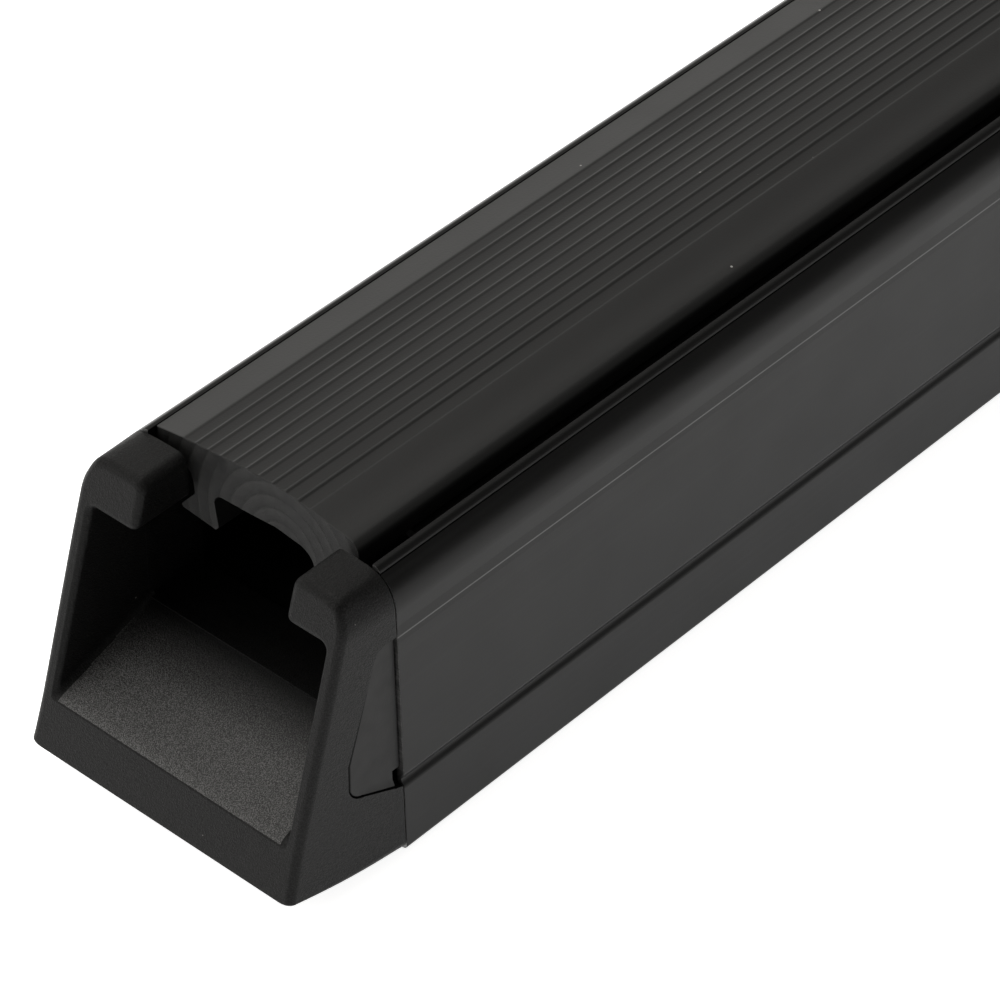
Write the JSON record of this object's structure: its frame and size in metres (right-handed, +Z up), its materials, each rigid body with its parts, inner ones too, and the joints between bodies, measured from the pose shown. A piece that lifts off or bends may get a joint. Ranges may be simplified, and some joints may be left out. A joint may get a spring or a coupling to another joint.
{
  "type": "truck bed cargo bar",
  "caption": "Heavy-duty black aluminium crossbar with a ribbed rubber top strip, open moulded end caps held by spring tongues, and a slotted underside.",
  "frame": {"origin": "middle of the bar, on the plane of its underside", "axes": "+X along the bar, +Y across it to the rear, +Z up out of the rubber strip"},
  "size_m": [1.5824, 0.07, 0.0677],
  "materials": {
    "coated_aluminium": "extruded aluminium under a satin black powder coat, sawn to length",
    "strip_rubber": "matt extruded rubber, fine lengthwise ribs",
    "textured_plastic": "black moulded plastic with a fine spark-eroded grain",
    "smooth_plastic": "smooth black moulded plastic",
    "zinc_steel": "zinc-plated steel",
    "infill_rubber": "matt extruded rubber"
  },
  "bodies": {
    "bar": {"crossbar_extrusion": "coated_aluminium", "top_rubber_strip": "strip_rubber", "underside_infill_left": "infill_rubber", "underside_infill_centre": "infill_rubber", "underside_infill_right": "infill_rubber"},
    "left_cap": {"left_end_cap": "textured_plastic"},
    "right_cap": {"right_end_cap": "textured_plastic"},
    "left_rear_tongue": {"left_cap_rear_tongue": "smooth_plastic"},
    "left_front_tongue": {"left_cap_front_tongue": "smooth_plastic"},
    "right_rear_tongue": {"right_cap_rear_tongue": "smooth_plastic"},
    "right_front_tongue": {"right_cap_front_tongue": "smooth_plastic"},
    "nut_1": {"channel_nut_1": "zinc_steel"},
    "nut_2": {"channel_nut_2": "zinc_steel"},
    "nut_3": {"channel_nut_3": "zinc_steel"},
    "nut_4": {"channel_nut_4": "zinc_steel"}
  },
  "joints": [
    {"name": "left_cap_pull", "type": "slide", "parent": "bar", "child": "left_cap", "axis": [-1, 0, 0], "range_m": [0, 0.05]},
    {"name": "right_cap_pull", "type": "slide", "parent": "bar", "child": "right_cap", "axis": [1, 0, 0], "range_m": [0, 0.05]},
    {"name": "left_rear_tongue_press", "type": "hinge", "parent": "left_cap", "child": "left_rear_tongue", "pos_m": [-0.7523, 0.0311, 0.035], "axis": [0, 0, 1], "range_deg": [0, 2.5], "stiffness_Nm_per_rad": 8},
    {"name": "left_front_tongue_press", "type": "hinge", "parent": "left_cap", "child": "left_front_tongue", "pos_m": [-0.7523, -0.0311, 0.035], "axis": [0, 0, -1], "range_deg": [0, 2.5], "stiffness_Nm_per_rad": 8},
    {"name": "right_rear_tongue_press", "type": "hinge", "parent": "right_cap", "child": "right_rear_tongue", "pos_m": [0.7523, 0.0311, 0.035], "axis": [0, 0, -1], "range_deg": [0, 2.5], "stiffness_Nm_per_rad": 8},
    {"name": "right_front_tongue_press", "type": "hinge", "parent": "right_cap", "child": "right_front_tongue", "pos_m": [0.7523, -0.0311, 0.035], "axis": [0, 0, 1], "range_deg": [0, 2.5], "stiffness_Nm_per_rad": 8},
    {"name": "nut_1_slide", "type": "slide", "parent": "bar", "child": "nut_1", "axis": [1, 0, 0], "range_m": [-0.018, 0.018]},
    {"name": "nut_2_slide", "type": "slide", "parent": "bar", "child": "nut_2", "axis": [1, 0, 0], "range_m": [-0.018, 0.018]},
    {"name": "nut_3_slide", "type": "slide", "parent": "bar", "child": "nut_3", "axis": [1, 0, 0], "range_m": [-0.018, 0.018]},
    {"name": "nut_4_slide", "type": "slide", "parent": "bar", "child": "nut_4", "axis": [1, 0, 0], "range_m": [-0.018, 0.018]}
  ]
}
